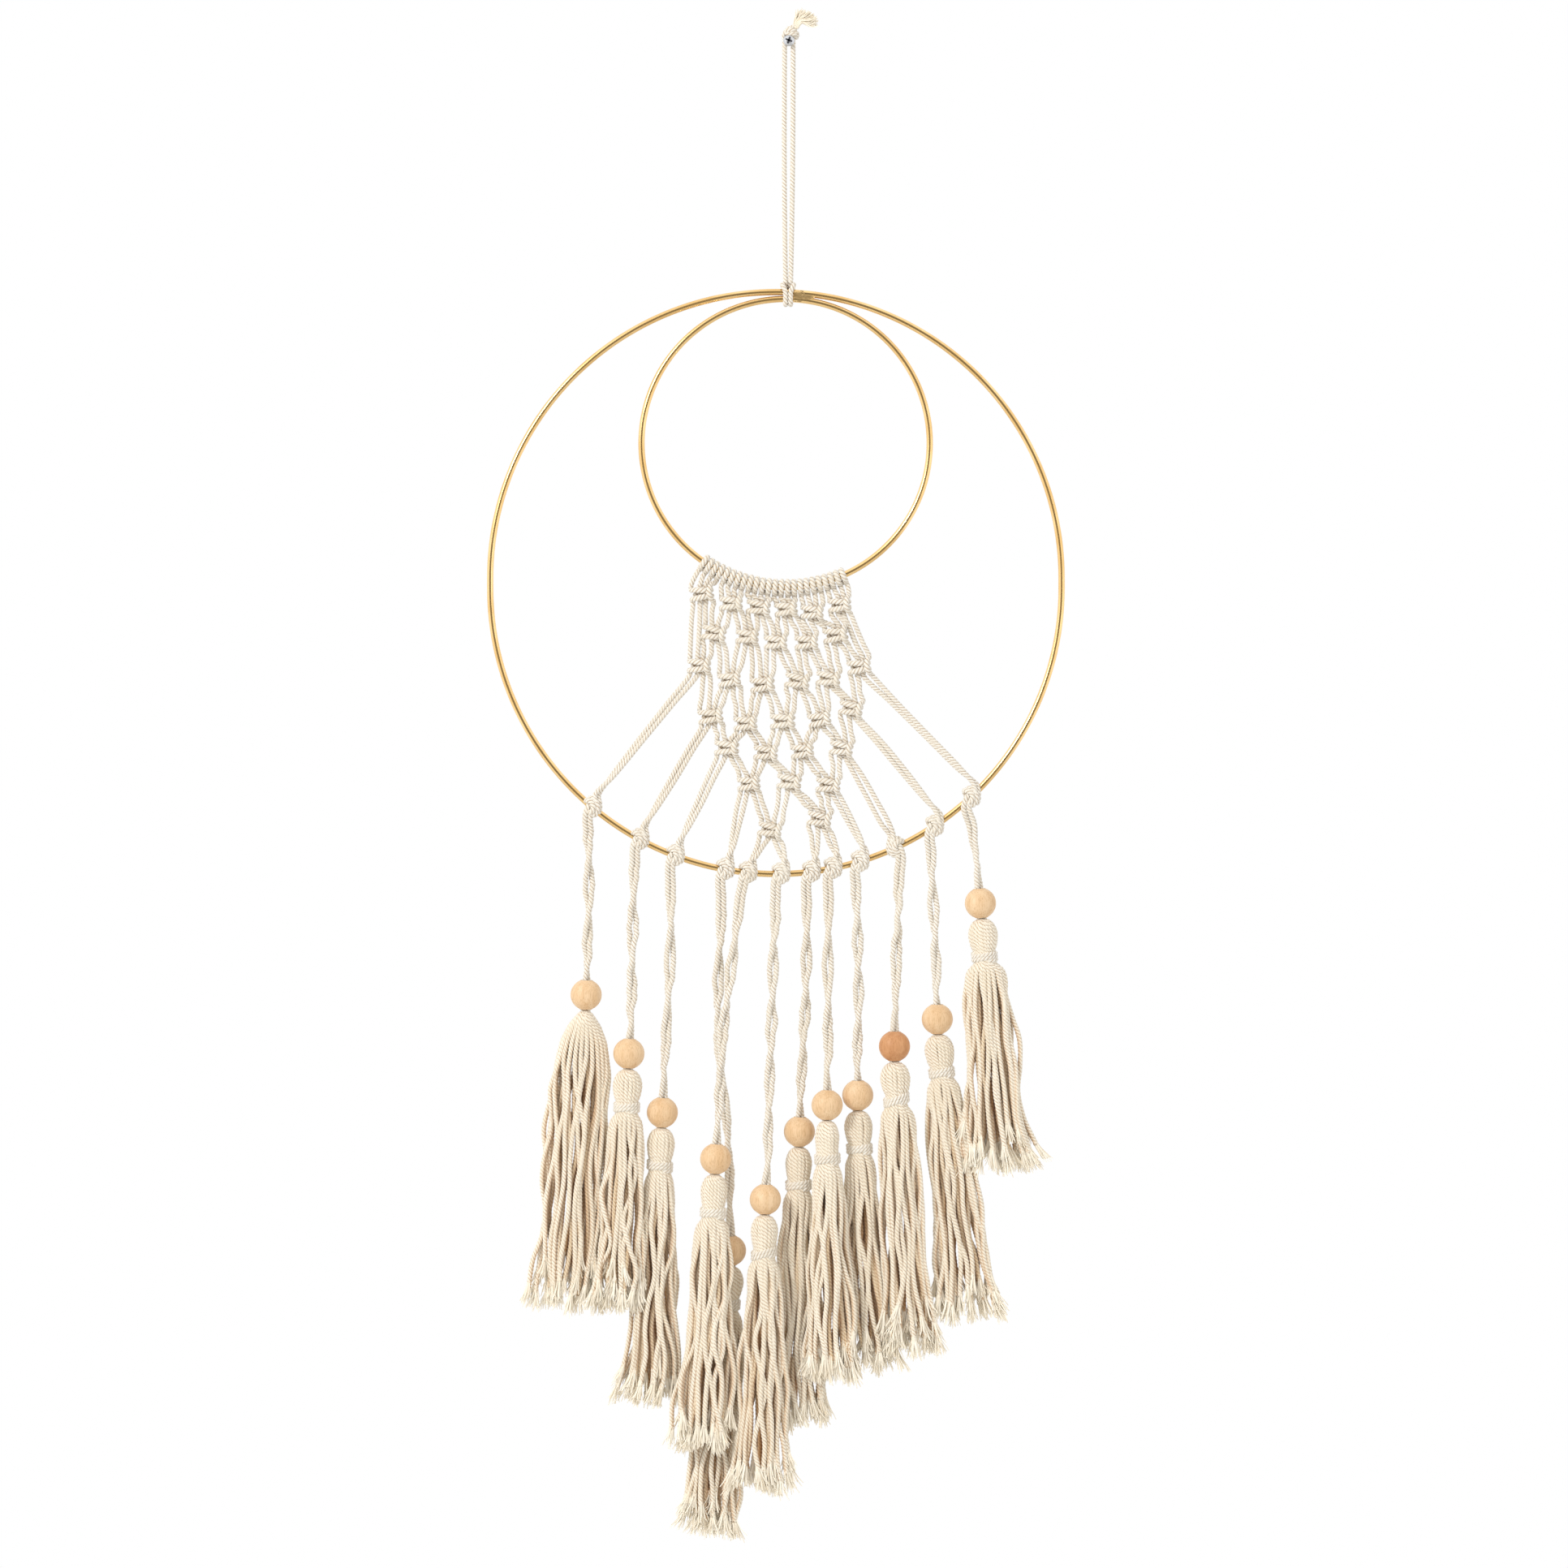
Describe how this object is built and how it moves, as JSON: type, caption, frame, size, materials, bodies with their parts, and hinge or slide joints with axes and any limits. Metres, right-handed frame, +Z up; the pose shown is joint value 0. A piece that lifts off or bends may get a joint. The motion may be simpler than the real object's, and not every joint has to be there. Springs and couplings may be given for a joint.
{
  "type": "macrame wall hanging",
  "caption": "Knotted cotton wall hanging on two brass hoops, with a pointed net of square knots and beaded cords that end in tassels.",
  "frame": {"origin": "the nail, in the loop of the hanging cord just under the top knot", "axes": "+Z up, front faces -Y, the wall is behind at +Y, +X to the right as seen from the front"},
  "size_m": [0.356, 0.0357, 0.9438],
  "materials": {
    "cotton_cord": "three-ply twisted natural cotton cord, matt",
    "tassel_cord": "cut ends of the same cotton cord, frayed at the tips",
    "brass": "polished brass wire",
    "pale_wood": "fine sanded pale wood, unlacquered",
    "dark_wood": "fine sanded wood, a darker piece"
  },
  "bodies": {
    "hanger": {"hanging_knot": "cotton_cord"},
    "frame": {"hanging_cord": "cotton_cord", "hoop_hitch": "cotton_cord", "large_hoop": "brass", "small_hoop": "brass", "hoop_weld": "brass", "lark_heads": "cotton_cord", "square_knots": "cotton_cord", "net_cords": "cotton_cord", "hoop_cords": "cotton_cord", "hoop_knots": "cotton_cord"},
    "drop_1": {"drop_cord_1": "cotton_cord", "tassel_1": "tassel_cord"},
    "bead_1": {"bead_1": "pale_wood"},
    "drop_2": {"drop_cord_2": "cotton_cord", "tassel_2": "tassel_cord", "tassel_wrap_2": "tassel_cord"},
    "bead_2": {"bead_2": "pale_wood"},
    "drop_3": {"drop_cord_3": "cotton_cord", "tassel_3": "tassel_cord", "tassel_wrap_3": "tassel_cord"},
    "bead_3": {"bead_3": "pale_wood"},
    "drop_4": {"drop_cord_4": "cotton_cord", "tassel_4": "tassel_cord", "tassel_wrap_4": "tassel_cord"},
    "bead_4": {"bead_4": "pale_wood"},
    "drop_5": {"drop_cord_5": "cotton_cord", "tassel_5": "tassel_cord", "tassel_wrap_5": "tassel_cord"},
    "bead_5": {"bead_5": "pale_wood"},
    "drop_6": {"drop_cord_6": "cotton_cord", "tassel_6": "tassel_cord", "tassel_wrap_6": "tassel_cord"},
    "bead_6": {"bead_6": "pale_wood"},
    "drop_7": {"drop_cord_7": "cotton_cord", "tassel_7": "tassel_cord", "tassel_wrap_7": "tassel_cord"},
    "bead_7": {"bead_7": "pale_wood"},
    "drop_8": {"drop_cord_8": "cotton_cord", "tassel_8": "tassel_cord", "tassel_wrap_8": "tassel_cord"},
    "bead_8": {"bead_8": "pale_wood"},
    "drop_9": {"drop_cord_9": "cotton_cord", "tassel_9": "tassel_cord", "tassel_wrap_9": "tassel_cord"},
    "bead_9": {"bead_9": "pale_wood"},
    "drop_10": {"drop_cord_10": "cotton_cord", "tassel_10": "tassel_cord", "tassel_wrap_10": "tassel_cord"},
    "bead_10": {"bead_10": "dark_wood"},
    "drop_11": {"drop_cord_11": "cotton_cord", "tassel_11": "tassel_cord", "tassel_wrap_11": "tassel_cord"},
    "bead_11": {"bead_11": "pale_wood"},
    "drop_12": {"drop_cord_12": "cotton_cord", "tassel_12": "tassel_cord", "tassel_wrap_12": "tassel_cord"},
    "bead_12": {"bead_12": "pale_wood"}
  },
  "joints": [
    {"name": "sway", "type": "hinge", "parent": "hanger", "child": "frame", "pos_m": [0, 0, 0], "axis": [0, 1, 0], "range_deg": [-10, 10]},
    {"name": "drop_1_lift", "type": "hinge", "parent": "frame", "child": "drop_1", "pos_m": [-0.12113, 0, -0.47177], "axis": [-1, 0, 0], "range_deg": [0, 30]},
    {"name": "bead_1_slide", "type": "slide", "parent": "drop_1", "child": "bead_1", "axis": [0.0334, -0.0259, 0.9991], "range_m": [0, 0.06]},
    {"name": "drop_2_lift", "type": "hinge", "parent": "frame", "child": "drop_2", "pos_m": [-0.09198, 0, -0.49162], "axis": [-1, 0, 0], "range_deg": [0, 30]},
    {"name": "bead_2_slide", "type": "slide", "parent": "drop_2", "child": "bead_2", "axis": [0.0494, 0.0227, 0.9985], "range_m": [0, 0.06]},
    {"name": "drop_3_lift", "type": "hinge", "parent": "frame", "child": "drop_3", "pos_m": [-0.07021, 0, -0.50159], "axis": [-1, 0, 0], "range_deg": [0, 30]},
    {"name": "bead_3_slide", "type": "slide", "parent": "drop_3", "child": "bead_3", "axis": [0.0491, -0.0189, 0.9986], "range_m": [0, 0.06]},
    {"name": "drop_4_lift", "type": "hinge", "parent": "frame", "child": "drop_4", "pos_m": [-0.03947, 0, -0.5111], "axis": [-1, 0, 0], "range_deg": [0, 30]},
    {"name": "bead_4_slide", "type": "slide", "parent": "drop_4", "child": "bead_4", "axis": [-0.0147, -0.034, 0.9993], "range_m": [0, 0.012]},
    {"name": "drop_5_lift", "type": "hinge", "parent": "drop_4", "child": "drop_5", "pos_m": [-0.02548, 0, -0.5111], "axis": [-1, 0, 0], "range_deg": [0, 30]},
    {"name": "bead_5_slide", "type": "slide", "parent": "drop_5", "child": "bead_5", "axis": [0.0624, 0.0057, 0.998], "range_m": [0, 0.03]},
    {"name": "drop_6_lift", "type": "hinge", "parent": "frame", "child": "drop_6", "pos_m": [-0.00524, 0, -0.51293], "axis": [-1, 0, 0], "range_deg": [0, 30]},
    {"name": "bead_6_slide", "type": "slide", "parent": "drop_6", "child": "bead_6", "axis": [0.0462, 0.0349, 0.9983], "range_m": [0, 0.06]},
    {"name": "drop_7_lift", "type": "hinge", "parent": "frame", "child": "drop_7", "pos_m": [0.01345, 0, -0.51164], "axis": [-1, 0, 0], "range_deg": [0, 30]},
    {"name": "bead_7_slide", "type": "slide", "parent": "drop_7", "child": "bead_7", "axis": [0.0433, -0.0436, 0.9981], "range_m": [0, 0.06]},
    {"name": "drop_8_lift", "type": "hinge", "parent": "frame", "child": "drop_8", "pos_m": [0.02679, 0, -0.50948], "axis": [-1, 0, 0], "range_deg": [0, 30]},
    {"name": "bead_8_slide", "type": "slide", "parent": "drop_8", "child": "bead_8", "axis": [0.0226, 0.0481, 0.9986], "range_m": [0, 0.06]},
    {"name": "drop_9_lift", "type": "hinge", "parent": "frame", "child": "drop_9", "pos_m": [0.04346, 0, -0.50526], "axis": [-1, 0, 0], "range_deg": [0, 30]},
    {"name": "bead_9_slide", "type": "slide", "parent": "drop_9", "child": "bead_9", "axis": [0.0066, -0.0347, 0.9994], "range_m": [0, 0.06]},
    {"name": "drop_10_lift", "type": "hinge", "parent": "frame", "child": "drop_10", "pos_m": [0.0661, 0, -0.49659], "axis": [-1, 0, 0], "range_deg": [0, 30]},
    {"name": "bead_10_slide", "type": "slide", "parent": "drop_10", "child": "bead_10", "axis": [0.009, 0.0245, 0.9997], "range_m": [0, 0.06]},
    {"name": "drop_11_lift", "type": "hinge", "parent": "frame", "child": "drop_11", "pos_m": [0.0894, 0, -0.48354], "axis": [-1, 0, 0], "range_deg": [0, 30]},
    {"name": "bead_11_slide", "type": "slide", "parent": "drop_11", "child": "bead_11", "axis": [-0.0177, -0.0252, 0.9995], "range_m": [0, 0.04]},
    {"name": "drop_12_lift", "type": "hinge", "parent": "frame", "child": "drop_12", "pos_m": [0.11203, 0, -0.46567], "axis": [-1, 0, 0], "range_deg": [0, 30]},
    {"name": "bead_12_slide", "type": "slide", "parent": "drop_12", "child": "bead_12", "axis": [-0.091, 0, 0.9958], "range_m": [0, 0.03]}
  ]
}
